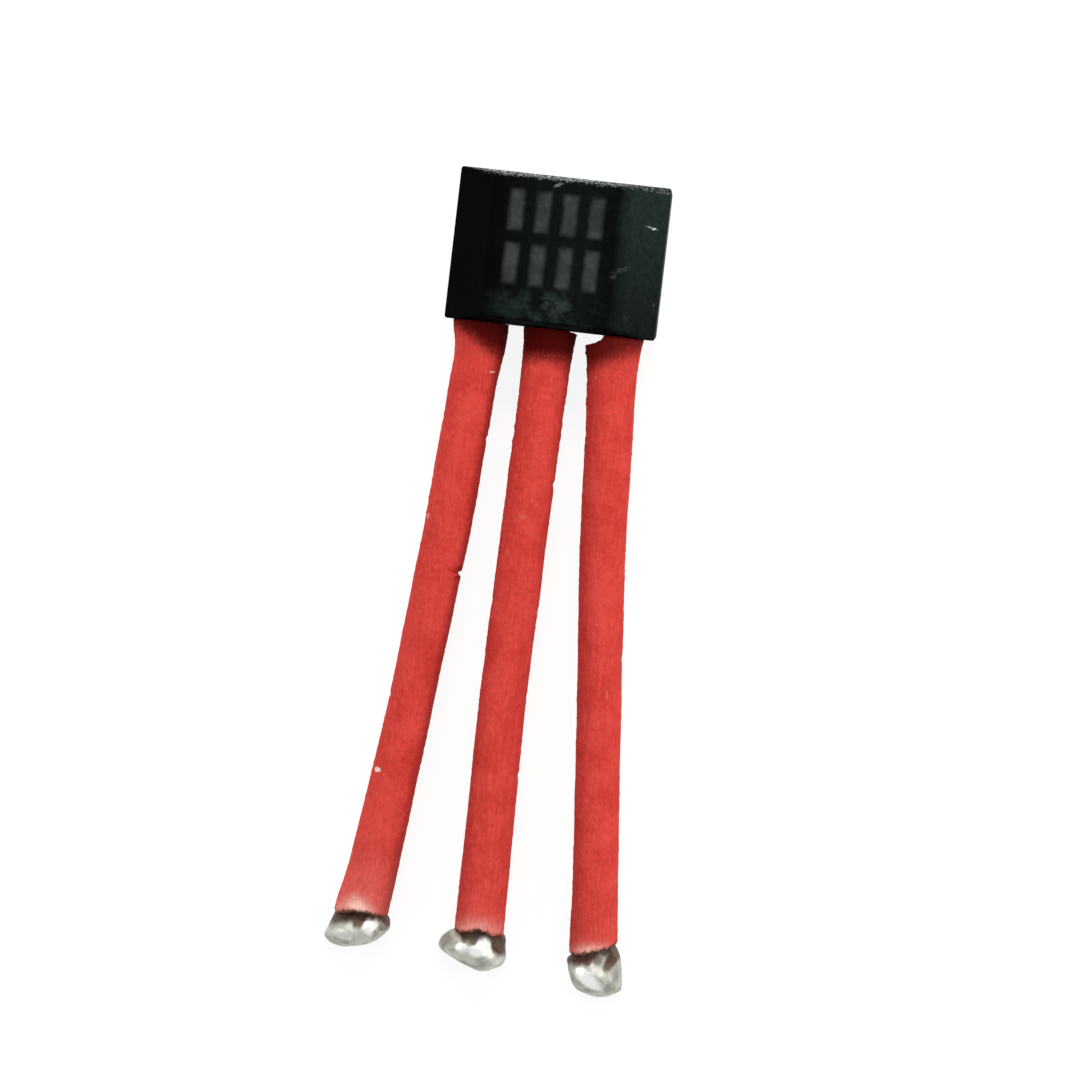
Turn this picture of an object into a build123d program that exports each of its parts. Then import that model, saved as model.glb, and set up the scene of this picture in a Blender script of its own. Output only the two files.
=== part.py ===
from build123d import *
import math
import os

# A flat three-lead hall effect sensor: a moulded package over a lead frame, a die and its bond
# wires, with an insulating sleeve and a solder tip on each lead. It lies on its back.
# Millimetres. The origin is the centre of the package's flat back face, +Z comes out of the
# marked face, the leads run along -Y, and +X is to the right as the marked face is read.

# Lead frame
lead_pitch = 1.27
lead_width = 0.43
lead_thickness = 0.41
finger_width = 0.62  # bonding finger at the inner end of each outer lead
frame_gap = 0.18  # between the die paddle and each finger
paddle_shoulder = 0.92  # from the package's lead side to the paddle
finger_shoulder = 0.55  # from the package's lead side to the fingers
frame_end_cover = 0.52  # compound beyond the lead frame's inner end

# Die, its attach layer and the bond wires
attach_thickness = 0.02
attach_squeeze_out = 0.04
die_thickness = 0.27
die_margin = 0.17  # bare paddle round the die
bond_inset = 0.12  # from a die edge to the centre of a bond
wire_diameter = 0.03
wire_rise = 0.15
wire_crown = 0.18  # flat stretch at the top of the loop
wire_bend = 0.05
ball_diameter = 0.09
ball_height = 0.03
stitch_length = 0.1
stitch_width = 0.07
stitch_height = 0.03

# Moulded package
body_height = 2.94
back_cover = 0.32  # compound behind the lead frame
side_cover = 0.565  # compound beside the outer leads at the parting plane
element_depth = 0.5  # from the marked face to the top of the die
facet_angle = 45.0  # the two long edges of the marked face are cut away at this angle
front_draft = 7.0
back_draft = 5.0
edge_radius = 0.05
indent_diameter = 0.4  # ejector pin indent in the marked face
indent_depth = 0.03
indent_inset = 0.25  # from the marked face's lower edge to the indent's centre

# Marking: plain blocks of discoloured compound, flush with the face
mark_rows = 2
mark_columns = 4
mark_side_margin = 0.3
mark_top_margin = 0.22
mark_indent_clearance = 0.18
mark_gap = 0.15
mark_corner = 0.07
mark_depth = 0.012

# Insulating sleeves
sleeve_clearance = 0.005  # between the bore and the lead's corners
sleeve_wall = 0.17
sleeve_start = 0.06  # from the package to the sleeve
bare_tip = 0.45  # lead left bare beyond the sleeve

# Solder tips, round beads that are flat underneath where they sat on a pad
solder_gap = 0.08  # from the sleeve to the solder
solder_setback = 0.33  # from the end of the lead back to the bead's centre
solder_cover = 0.03  # solder over the corners at the end of the lead
solder_height = 0.34  # of the bead's centre

# Leads outside the package. Each has a straight start and then wanders aside: its curve gives
# points as shares of its length beyond the start and of its splay, and ends at its tip.
lead_length = 12.15  # of the middle lead
lead_length_step = 0.15  # each lead ends this much further out than the one to its left
lead_start = 0.35
lead_splays = {"supply": -1.11, "ground": -0.1, "output": 1.0}
lead_curves = {
    "supply": ((0.06, 0.09), (0.315, 0.25), (0.657, 0.585), (1.0, 1.0)),
    "ground": ((0.58, 1.0), (1.0, 0.3)),
    "output": ((0.322, 0.23), (1.0, 1.0)),
}
lead_places = {"supply": -lead_pitch, "ground": 0.0, "output": lead_pitch}
lead_lengths = {
    "supply": lead_length - lead_length_step,
    "ground": lead_length,
    "output": lead_length + lead_length_step,
}
sleeve_slants = {"supply": 0.0, "ground": 3.0, "output": -8.0}  # of each sleeve's upper cut
bend_share = 0.45  # part of the shorter run beside a bend that its arc may take
first_bend_share = 0.7  # part of the straight start that the first bend may take

# Levels above the back face
frame_base = back_cover
lead_centre = back_cover + lead_thickness / 2
parting_height = back_cover + lead_thickness
die_base = parting_height + attach_thickness
die_top = die_base + die_thickness
body_thickness = die_top + element_depth

# Package outline and marked face
front_depth = body_thickness - parting_height
facet_run = front_depth * math.tan(math.radians(facet_angle))
front_taper = front_depth * math.tan(math.radians(front_draft))
back_taper = parting_height * math.tan(math.radians(back_draft))
body_width = 2 * lead_pitch + lead_width + 2 * side_cover
face_width = body_width - 2 * facet_run
face_edge = body_height / 2 - front_taper
indent_centre = indent_inset - face_edge

# Lead frame in plan
lead_side = -body_height / 2
frame_end = body_height / 2 - frame_end_cover
finger_outer = lead_pitch + lead_width / 2
finger_centre = finger_outer - finger_width / 2
finger_base = lead_side + finger_shoulder
paddle_base = lead_side + paddle_shoulder
paddle_width = 2 * (finger_outer - finger_width - frame_gap)
paddle_length = frame_end - paddle_base
paddle_centre = (frame_end + paddle_base) / 2
die_width = paddle_width - 2 * die_margin
die_length = paddle_length - 2 * die_margin

# Sleeves and solder
sleeve_bore_radius = math.hypot(lead_width, lead_thickness) / 2 + sleeve_clearance
sleeve_radius = sleeve_bore_radius + sleeve_wall
lead_corner_reach = math.hypot(lead_width / 2, parting_height - solder_height)
solder_radius = math.hypot(lead_corner_reach, solder_setback) + solder_cover

os.makedirs("parts", exist_ok=True)


def finish(piece, label):
    """Name a finished piece and write it to its own file."""
    piece.part.label = label
    export_step(piece.part, f"parts/{label}.step")
    return piece.part


def route_points(side, inner_end):
    """Points of a lead's centre line in plan, from its inner end to its tip."""
    place = lead_places[side]
    wander = lead_lengths[side] - lead_start
    points = [(place, inner_end), (place, lead_side - lead_start)]
    for along, aside in lead_curves[side]:
        points.append((place + aside * lead_splays[side], lead_side - lead_start - along * wander))
    return points


def bend_radii(points):
    """One arc radius for each inner point, as large as the runs beside it allow."""
    radii = []
    for before, corner, after in zip(points, points[1:], points[2:]):
        run_in = Vector(corner) - Vector(before)
        run_out = Vector(after) - Vector(corner)
        reach = bend_share * min(run_in.length, run_out.length)
        if not radii:
            reach = min(reach, first_bend_share * lead_start)
        radii.append(reach / math.tan(math.radians(run_in.get_angle(run_out) / 2)))
    return radii


# Leads, each of one flat strip with the form of its inner end stamped in the same strip
leads = {}
lead_paths = {}
for side, place in lead_places.items():
    inner_end = paddle_base if side == "ground" else finger_base
    points = route_points(side, inner_end)

    with BuildPart() as lead:
        with BuildLine(Plane.XY.offset(lead_centre)) as path:
            FilletPolyline(*points, radius=bend_radii(points))
        with BuildSketch(Plane(origin=path.line @ 0, x_dir=(1, 0, 0), z_dir=path.line % 0)):
            Rectangle(lead_width, lead_thickness)
        sweep(path=path.line)
        with BuildSketch(Plane.XY.offset(frame_base)):
            if side == "ground":
                with Locations((0, paddle_centre)):
                    Rectangle(paddle_width, paddle_length)
            else:
                with Locations((math.copysign(finger_centre, place), finger_base)):
                    Rectangle(finger_width, frame_end - finger_base, align=(Align.CENTER, Align.MIN))
        extrude(amount=lead_thickness)

    leads[side] = finish(lead, f"lead_{side}")
    lead_paths[side] = path.line


# Attach layer and die on the paddle
with BuildPart() as die_attach:
    with BuildSketch(Plane.XY.offset(parting_height)):
        with Locations((0, paddle_centre)):
            Rectangle(die_width + 2 * attach_squeeze_out, die_length + 2 * attach_squeeze_out)
    extrude(amount=attach_thickness)
finish(die_attach, "die_attach")

with BuildPart() as sensor_die:
    with BuildSketch(Plane.XY.offset(die_base)):
        with Locations((0, paddle_centre)):
            Rectangle(die_width, die_length)
    extrude(amount=die_thickness)
finish(sensor_die, "sensor_die")


# Bond wires: a ball on the die, a loop, and a stitch on the lead frame
side_bond_reach = finger_centre - die_width / 2 + bond_inset
neck_bond_reach = die_margin + bond_inset + stitch_length
die_lower_edge = paddle_centre - die_length / 2
bond_starts = {
    "supply": (bond_inset - die_width / 2, paddle_centre),
    "ground": (0, die_lower_edge + bond_inset),
    "output": (die_width / 2 - bond_inset, paddle_centre),
}
bond_runs = {
    "supply": (Vector(-1, 0, 0), side_bond_reach),
    "ground": (Vector(0, -1, 0), neck_bond_reach),
    "output": (Vector(1, 0, 0), side_bond_reach),
}
stitch_drop = parting_height - die_top

bond_wires = {}
for side, (start_x, start_y) in bond_starts.items():
    heading, reach = bond_runs[side]
    ball_place = Vector(start_x, start_y, die_top)
    loop_plane = Plane(origin=ball_place, x_dir=heading, z_dir=heading.cross(Vector(0, 0, 1)))
    stitch_plane = Plane(origin=ball_place + heading * reach + Vector(0, 0, stitch_drop), x_dir=heading)

    with BuildPart() as bond_wire:
        with BuildSketch(Plane(origin=ball_place)):
            Circle(ball_diameter / 2)
        extrude(amount=ball_height)
        with BuildSketch(stitch_plane):
            Rectangle(stitch_length, stitch_width)
        extrude(amount=stitch_height)
        with BuildLine(loop_plane) as loop:
            FilletPolyline(
                (0, ball_height / 2),
                (0, wire_rise),
                (wire_crown, wire_rise),
                (reach, stitch_drop + stitch_height / 2),
                radius=wire_bend,
            )
        with BuildSketch(Plane(origin=loop.line @ 0, z_dir=loop.line % 0)):
            Circle(wire_diameter / 2)
        sweep(path=loop.line)

    bond_wires[side] = finish(bond_wire, f"bond_wire_{side}")


# Marking blocks in the marked face, clear of its edges and of the indent
mark_width = face_width - 2 * mark_side_margin
mark_top = face_edge - mark_top_margin
mark_base = indent_centre + indent_diameter / 2 + mark_indent_clearance
column_pitch = (mark_width + mark_gap) / mark_columns
row_pitch = (mark_top - mark_base + mark_gap) / mark_rows

with BuildPart() as face_marking:
    with BuildSketch(Plane.XY.offset(body_thickness)):
        with Locations((0, (mark_top + mark_base) / 2)):
            with GridLocations(column_pitch, row_pitch, mark_columns, mark_rows):
                RectangleRounded(column_pitch - mark_gap, row_pitch - mark_gap, mark_corner)
    extrude(amount=-mark_depth)
finish(face_marking, "face_marking")


# Package, moulded round everything above
with BuildPart() as moulded_body:
    with BuildSketch(Plane.XZ.offset(-body_height / 2)):
        with BuildLine():
            Polyline(
                (body_width / 2 - back_taper, 0),
                (body_width / 2, parting_height),
                (face_width / 2, body_thickness),
                (-face_width / 2, body_thickness),
                (-body_width / 2, parting_height),
                (back_taper - body_width / 2, 0),
                close=True,
            )
        make_face()
    extrude(amount=body_height)
    with BuildSketch(Plane.YZ.offset(-body_width / 2)):
        with BuildLine():
            Polyline(
                (body_height / 2 - back_taper, 0),
                (body_height / 2, parting_height),
                (face_edge, body_thickness),
                (-face_edge, body_thickness),
                (-body_height / 2, parting_height),
                (back_taper - body_height / 2, 0),
                close=True,
            )
        make_face()
    extrude(amount=body_width, mode=Mode.INTERSECT)
    parting_edges = moulded_body.edges().filter_by_position(Axis.Z, parting_height, parting_height)
    fillet(moulded_body.edges() - parting_edges, radius=edge_radius)
    with BuildSketch(Plane.XY.offset(body_thickness)):
        with Locations((0, indent_centre)):
            Circle(indent_diameter / 2)
    extrude(amount=-indent_depth, mode=Mode.SUBTRACT)
    for embedded in (*leads.values(), die_attach.part, sensor_die.part, *bond_wires.values()):
        add(embedded, mode=Mode.SUBTRACT)
    add(face_marking.part, mode=Mode.SUBTRACT)
finish(moulded_body, "moulded_body")


# Sleeves, threaded over the leads: each upper end is cut at its own slant, each lower end square
for side, path in lead_paths.items():
    slant = math.radians(sleeve_slants[side])
    upper_cut = Plane(
        origin=(lead_places[side], lead_side - sleeve_start - sleeve_radius * math.sin(abs(slant)), 0),
        z_dir=(math.sin(slant), -math.cos(slant), 0),
    )
    lower_cut = Plane(origin=path @ 1 - (path % 1) * bare_tip, z_dir=path % 1)

    with BuildPart() as sleeve:
        with BuildSketch(Plane(origin=path @ 0, z_dir=path % 0)):
            Circle(sleeve_radius)
            Circle(sleeve_bore_radius, mode=Mode.SUBTRACT)
        sweep(path=path)
        split(bisect_by=upper_cut, keep=Keep.TOP)
        split(bisect_by=lower_cut, keep=Keep.BOTTOM)

    finish(sleeve, f"sleeve_{side}")


# Solder tips: a round bead on the end of each lead, cut off flat at the level of the back face
for side, path in lead_paths.items():
    heading = path % 1
    bead_place = path @ 1 - heading * solder_setback
    neck_cut = Plane(origin=path @ 1 - heading * (bare_tip - solder_gap), z_dir=heading)

    with BuildPart() as solder_tip:
        with Locations((bead_place.X, bead_place.Y, solder_height)):
            Sphere(solder_radius)
        split(bisect_by=Plane.XY, keep=Keep.TOP)
        split(bisect_by=neck_cut, keep=Keep.TOP)
        add(leads[side], mode=Mode.SUBTRACT)

    finish(solder_tip, f"solder_tip_{side}")
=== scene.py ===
import math

import bpy
import numpy as np
from mathutils import Matrix, Vector, noise


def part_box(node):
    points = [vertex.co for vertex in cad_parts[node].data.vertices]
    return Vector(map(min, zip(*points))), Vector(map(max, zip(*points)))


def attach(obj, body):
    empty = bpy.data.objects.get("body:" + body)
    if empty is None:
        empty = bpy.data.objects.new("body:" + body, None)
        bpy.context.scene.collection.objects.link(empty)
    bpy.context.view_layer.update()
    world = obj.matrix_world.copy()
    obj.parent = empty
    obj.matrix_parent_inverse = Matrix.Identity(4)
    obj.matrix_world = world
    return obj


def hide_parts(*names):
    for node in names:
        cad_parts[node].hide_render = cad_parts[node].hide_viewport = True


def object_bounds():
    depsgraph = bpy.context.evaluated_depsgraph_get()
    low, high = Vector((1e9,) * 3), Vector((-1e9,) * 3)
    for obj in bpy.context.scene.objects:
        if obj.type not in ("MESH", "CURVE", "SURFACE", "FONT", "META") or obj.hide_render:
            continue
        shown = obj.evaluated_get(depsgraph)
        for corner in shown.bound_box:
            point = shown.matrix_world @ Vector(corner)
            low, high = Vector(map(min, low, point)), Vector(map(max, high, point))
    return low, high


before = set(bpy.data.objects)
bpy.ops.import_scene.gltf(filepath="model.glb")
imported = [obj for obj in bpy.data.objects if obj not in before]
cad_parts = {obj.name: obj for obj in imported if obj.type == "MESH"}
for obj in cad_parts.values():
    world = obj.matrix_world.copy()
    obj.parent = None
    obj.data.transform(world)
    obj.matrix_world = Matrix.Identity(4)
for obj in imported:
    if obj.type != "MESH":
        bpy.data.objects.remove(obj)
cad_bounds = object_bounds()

# A three-lead hall effect sensor, lying on its back, seen from above its marked face.
# Shapes are worked out in millimetres in the frame of the CAD: +Z out of the marked face, the
# leads along -Y, +X to the right. The meshes are scaled to metres when they are made.
MM = 0.001

SIDES = ("supply", "ground", "output")

body_low, body_high = [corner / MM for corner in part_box("moulded_body")]
half_height = (body_low.z + body_high.z) / 2  # close to the package's parting line
mark_low, mark_high = [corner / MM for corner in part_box("face_marking")]

# Leads: each starts straight, then wanders aside. A curve gives points as shares of the lead's
# length beyond its start and of its splay. Each name and number is the same as in the CAD.
lead_places = {"supply": -1.27, "ground": 0.0, "output": 1.27}
lead_lengths = {"supply": 12.0, "ground": 12.15, "output": 12.3}
lead_splays = {"supply": -1.11, "ground": -0.1, "output": 1.0}
lead_curves = {
    "supply": ((0.06, 0.09), (0.315, 0.25), (0.657, 0.585), (1.0, 1.0)),
    "ground": ((0.58, 1.0), (1.0, 0.3)),
    "output": ((0.322, 0.23), (1.0, 1.0)),
}
lead_start = 0.35
lead_centre = 0.525
bare_tip = 0.45
sleeve_bore_radius = 0.302

# Sleeves: (share of the length, half the width) down each one, where its upper end is cut:
# (share of the radius to the right, how much lower), and how far its ends widen to the left
sleeve_forms = {
    "supply": {
        "widths": ((0.0, 0.455), (0.02, 0.45), (0.06, 0.45), (0.12, 0.452), (0.3, 0.455),
                   (0.62, 0.43), (0.8, 0.455), (0.93, 0.48), (1.0, 0.485)),
        "upper_cut": ((-1.0, 0.0), (1.0, 0.0)),
        "flare_left": 0.165,
        "flare_foot": 0.07,
    },
    "ground": {
        "widths": ((0.0, 0.52), (0.02, 0.49), (0.06, 0.465), (0.12, 0.45), (0.3, 0.45),
                   (0.65, 0.45), (0.85, 0.462), (0.94, 0.475), (1.0, 0.475)),
        "upper_cut": ((-1.0, 0.0), (0.78, 0.0), (1.0, 0.045)),
        "flare_left": 0.0,
        "flare_foot": 0.0,
    },
    "output": {
        "widths": ((0.0, 0.545), (0.02, 0.505), (0.06, 0.475), (0.12, 0.46), (0.25, 0.45),
                   (0.5, 0.43), (0.75, 0.428), (0.9, 0.44), (1.0, 0.455)),
        "upper_cut": ((-1.0, 0.22), (-0.65, 0.17), (-0.40, 0.10), (-0.25, 0.0), (1.0, 0.0)),
        "flare_left": 0.02,
        "flare_foot": 0.02,
    },
}
skin_start = -0.004  # just inside the package
sleeve_gap = 0.01  # a sleeve's skin comes no lower than this above the surface under it
lip_length = 0.07  # at the lower end the sleeve shrinks over this length
lip_shrink = 0.045
bore_flare = 1.12  # the bore is this many times as wide at the upper end
flare_length = 0.55  # the upper end widens to the left over about this length
foot_reach = (1.1, 0.1)  # the lower end widens to the left over this stretch before its end
bulge_height = 0.010
# Waves in a sleeve's skin: (height, waves to a radian round, waves to a mm along, shift)
skin_waves = ((0.005, 9, 1.2, 0), (0.008, 6, 9, 0), (0.006, 9, 17, 6))
# Flakes that stand out of it: their height, and what is added to it near the package
flake_height = 0.015
flake_rise = 0.035
flake_stretch = (4.0, 1.5)  # the rise sets in between these distances
flake_level = 0.40  # noise above this is a flake
sleeve_seeds = {"supply": 0.0, "ground": 11.0, "output": 22.0}
# Dents in the sleeves: (distance along, degrees round from the right side, depth, half length,
# half width)
sleeve_dents = {
    "supply": ((4.83, 0, 0.085, 0.034, 0.30), (2.2, -5, 0.02, 0.05, 0.2),
               (7.4, 174, 0.015, 0.06, 0.2)),
    "ground": ((2.95, -5, 0.03, 0.05, 0.2), (5.3, 174, 0.015, 0.06, 0.2),
               (8.6, -5, 0.015, 0.07, 0.2)),
    "output": ((1.9, 174, 0.015, 0.06, 0.2), (6.2, -5, 0.012, 0.08, 0.2)),
}
# Marks on the sleeves: (place in plan, half sizes, degrees, strength); the dark ones, below zero, are
# painted shade above and below a nick
sleeve_flecks = {
    "supply": (
        ((-2.31, -10.25), (0.075, 0.06), 0, 0.9),
        ((-1.91, -5.30), (0.03, 0.06), -10, 0.38),
        ((-0.99, -2.41), (0.05, 0.022), 20, 0.45),
        ((-1.18, -6.31), (0.08, 0.022), 25, 0.7),
        ((-1.17, -6.21), (0.10, 0.045), 30, -0.6),
        ((-1.20, -6.40), (0.09, 0.035), 25, -0.6),
    ),
    "ground": (
        ((0.41, -10.15), (0.04, 0.04), 0, 0.5),
        ((-0.05, -5.10), (0.13, 0.05), 8, 0.05),
        ((0.38, -6.9), (0.02, 0.08), 0, 0.15),
    ),
    "output": (
        ((1.02, -2.3), (0.02, 0.05), 0, 0.12),
        ((1.95, -8.3), (0.02, 0.10), 4, 0.1),
    ),
}
# Painted highlights on the upper side of the lower ends, with a broad painted lightening towards them:
# (beyond the end, aside, half length, half width, amount)
painted_end_highlights = {
    "supply": ((-0.06, -0.03, 0.14, 0.26, 0.95), (-0.22, -0.10, 0.12, 0.16, 0.38),
               (0.04, -0.38, 0.13, 0.16, 0.28), (-0.10, 0.0, 1.0, 0.80, 0.10)),
    "ground": ((-0.10, 0.0, 0.13, 0.44, 0.46), (-0.28, 0.04, 0.12, 0.40, 0.13),
               (-0.10, 0.0, 1.0, 0.80, 0.02)),
    "output": ((-0.08, -0.08, 0.12, 0.30, 0.55), (-0.19, 0.10, 0.10, 0.26, 0.27),
               (-0.10, 0.0, 1.0, 0.80, 0.03)),
}
# How far each sleeve's lower cut is from square: (share of the radius to the right, shift)
lower_cuts = {
    "supply": ((-1.0, 0.125), (-0.75, 0.10), (-0.25, 0.0), (1.0, -0.005)),
    "ground": ((-1.0, -0.01), (-0.4, -0.015), (0.05, -0.075), (0.45, -0.055), (0.65, 0.005),
               (1.0, 0.005)),
    "output": ((-1.0, -0.03), (-0.45, -0.02), (0.05, -0.085), (0.7, -0.15), (1.0, -0.24)),
}
# Painted shadow of the package on the sleeves: (reach at the lead's middle, more of it to the right,
# strength)
painted_package_shadow = {"supply": (0.42, 0.50, 0.90), "ground": (0.58, 0.04, 0.93), "output": (0.50, -0.42, 0.76)}
# Painted shade along one flank: (1 for the right one, share of the radius where it starts, strength)
flank_shades = {"supply": (1, 0.70, 0.48), "ground": (-1, 0.40, 0.16), "output": (-1, 0.0, 0.28)}

# Solder tips, from above: (distance beyond the sleeve, left edge, right edge)
solder_outlines = {
    "supply": ((-0.20, -0.31, 0.31), (-0.10, -0.33, 0.33), (0.0, -0.50, 0.47), (0.10, -0.56, 0.52),
               (0.22, -0.59, 0.53), (0.36, -0.62, 0.45), (0.50, -0.65, 0.33), (0.62, -0.68, 0.17),
               (0.72, -0.66, -0.04)),
    "ground": ((-0.20, -0.31, 0.31), (-0.12, -0.34, 0.33), (-0.03, -0.55, 0.44), (0.06, -0.68, 0.49),
               (0.20, -0.78, 0.50), (0.33, -0.79, 0.52), (0.45, -0.64, 0.52), (0.56, -0.42, 0.47),
               (0.68, -0.18, 0.34)),
    "output": ((-0.32, -0.30, 0.30), (-0.20, -0.31, 0.38), (-0.06, -0.40, 0.45), (0.04, -0.53, 0.48),
               (0.20, -0.53, 0.50), (0.38, -0.49, 0.51), (0.54, -0.43, 0.51), (0.66, -0.34, 0.49),
               (0.75, -0.22, 0.42)),
}
# The crest: (height against the sleeve, distance of the peak, its height, its shift to the right)
solder_crests = {
    "supply": (0.83, 0.36, 0.93, 0.16),
    "ground": (0.83, 0.34, 0.93, 0.05),
    "output": (0.82, 0.38, 0.92, -0.04),
}
solder_waist = 0.22  # where a bead is widest, above the surface that it lies on
solder_nose = 0.05  # from the last edges above to the tip
solder_closing = 0.16  # of a bead's tip, where its section shrinks to a point
bead_seeds = {"supply": 40.0, "ground": 47.0, "output": 54.0}
# Burnt flux: how far it runs down at each place aside, then streaks of it
flux_edges = {
    "supply": ((-0.60, 0.34), (-0.46, 0.32), (-0.26, 0.22), (-0.12, 0.21), (0.0, 0.26), (0.08, 0.24),
               (0.13, 0.13), (0.20, 0.04), (0.34, 0.05), (0.50, 0.14), (0.60, 0.16)),
    "ground": ((-0.60, -0.12), (-0.45, -0.05), (-0.38, 0.02), (-0.28, 0.10), (-0.18, 0.16),
               (-0.05, 0.22), (0.02, 0.17), (0.07, 0.04), (0.20, -0.02), (0.26, 0.04), (0.33, 0.24),
               (0.42, 0.33), (0.60, 0.32)),
    "output": ((-0.60, 0.11), (-0.42, 0.12), (-0.30, 0.15), (-0.04, 0.13), (0.05, 0.06), (0.15, -0.04),
               (0.60, -0.04)),
}
# Patches: (distance, aside, half length, half width, degrees from the lead to the right, amount)
flux_streaks = {
    "supply": ((0.14, 0.47, 0.14, 0.09, 0, 0.5),),
    "ground": ((0.20, 0.46, 0.16, 0.12, 0, 0.5),),
    "output": ((0.02, 0.37, 0.26, 0.10, -22, 1.0), (0.02, 0.12, 0.15, 0.12, 0, 0.5),
               (0.22, 0.04, 0.10, 0.14, 0, 0.18)),
}
# Painted highlights on the bare solder, whiter and smoother patches, given in the same way
painted_solder_highlights = {
    "supply": ((0.225, 0.235, 0.17, 0.078, 15, 1.0), (0.50, -0.24, 0.10, 0.20, 0, 0.45),
               (0.33, -0.10, 0.10, 0.14, 0, 0.2)),
    "ground": ((0.13, 0.105, 0.12, 0.085, 0, 1.0), (0.32, 0.05, 0.11, 0.165, 0, 1.0),
               (0.29, -0.26, 0.10, 0.10, 0, 0.7), (0.44, 0.40, 0.11, 0.14, 0, 0.35)),
    "output": ((0.43, -0.07, 0.30, 0.12, 55, 1.0), (0.30, 0.12, 0.10, 0.12, 0, 0.2)),
}


# ---------------------------------------------------------------- meshes

def make_piece(name, vertices, faces, values, material, replaced):
    """A smooth mesh piece in the CAD's frame, with its per-vertex values, riding on the part."""
    mesh = bpy.data.meshes.new(name)
    mesh.from_pydata(vertices, [], faces)
    mesh.transform(Matrix.Scale(MM, 4))
    mesh.shade_smooth()
    for label, numbers in values.items():
        layer = mesh.attributes.new(label, "FLOAT", "POINT")
        layer.data.foreach_set("value", np.asarray(numbers, np.float32))
    mesh.materials.append(material)
    mesh.validate()
    mesh.update()
    piece = bpy.data.objects.new(name, mesh)
    bpy.context.scene.collection.objects.link(piece)
    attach(piece, "root")
    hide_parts(replaced)


def ring_faces(rows, columns):
    """Quads between rings of vertices that follow each other."""
    faces = []
    for row in range(rows - 1):
        for column in range(columns):
            after = (column + 1) % columns
            faces.append((
                row * columns + column,
                row * columns + after,
                (row + 1) * columns + after,
                (row + 1) * columns + column,
            ))
    return faces


def smooth_step(low, high, value):
    """0 at low and 1 at high, whichever of the two is larger."""
    share = min(1.0, max(0.0, (value - low) / (high - low)))
    return share * share * (3 - 2 * share)


def smooth_interp(place, places, values):
    """A smooth curve through the given values."""
    index = int(np.clip(np.searchsorted(places, place) - 1, 0, len(places) - 2))
    slopes = np.gradient(values, places)
    width = places[index + 1] - places[index]
    t = min(1.0, max(0.0, (place - places[index]) / width))
    return (
        (2 * t ** 3 - 3 * t ** 2 + 1) * values[index]
        + (t ** 3 - 2 * t ** 2 + t) * width * slopes[index]
        + (3 * t ** 2 - 2 * t ** 3) * values[index + 1]
        + (t ** 3 - t ** 2) * width * slopes[index + 1]
    )


class LeadPath:
    """The centre line of a lead outside the package, by distance from the package."""

    step = 0.02
    averaged = 25  # an odd number of points that each point is averaged over, twice
    run_on = 2.0  # the line goes on straight for this far beyond the lead
    margins = (1.0, 1.5)  # worked out for this far before the package and beyond the lead
    kept = (0.2, 1.0)  # and kept for this far
    direction_reach = 0.05  # half the stretch that a direction is taken over

    def __init__(self, side):
        length = lead_lengths[side]
        drops = [0.0, lead_start]
        asides = [0.0, 0.0]
        for along, aside in lead_curves[side]:
            drops.append(lead_start + along * (length - lead_start))
            asides.append(aside * lead_splays[side])
        end_slope = (asides[-1] - asides[-2]) / (drops[-1] - drops[-2])
        drops.append(drops[-1] + self.run_on)
        asides.append(asides[-1] + self.run_on * end_slope)
        grid = np.arange(-self.margins[0], length + self.margins[1], self.step)
        x = np.interp(grid, drops, asides)
        window = np.ones(self.averaged) / self.averaged
        for _ in range(2):
            x = np.convolve(np.pad(x, self.averaged // 2, mode="edge"), window, mode="valid")
        keep = (grid >= -self.kept[0]) & (grid <= length + self.kept[1])
        self.x = lead_places[side] + x[keep]
        self.y = body_low.y - grid[keep]
        steps = np.hypot(np.diff(self.x), np.diff(self.y))
        self.distance = np.concatenate(([0.0], np.cumsum(steps)))
        self.distance -= np.interp(0.0, grid[keep], self.distance)
        self.length = np.interp(length, grid[keep], self.distance)

    def point_at(self, distance):
        """The centre in plan, at a distance along the lead."""
        return (
            np.interp(distance, self.distance, self.x),
            np.interp(distance, self.distance, self.y),
        )

    def frame_at(self, distance):
        """The centre in plan and the unit vector to the lead's right, at a distance along it."""
        x, y = self.point_at(distance)
        before_x, before_y = self.point_at(distance - self.direction_reach)
        after_x, after_y = self.point_at(distance + self.direction_reach)
        dx, dy = after_x - before_x, after_y - before_y
        size = np.hypot(dx, dy)
        return x, y, -dy / size, dx / size


paths = {side: LeadPath(side) for side in SIDES}


def skin_noise(side, angle, distance, waves_round, waves_along, shift=0):
    """Noise over a sleeve's skin, unbroken all the way round."""
    across, up = math.cos(angle), math.sin(angle)
    along = distance * waves_along + sleeve_seeds[side] + shift
    return noise.noise(Vector((across * waves_round, up * waves_round, along)))


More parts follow.
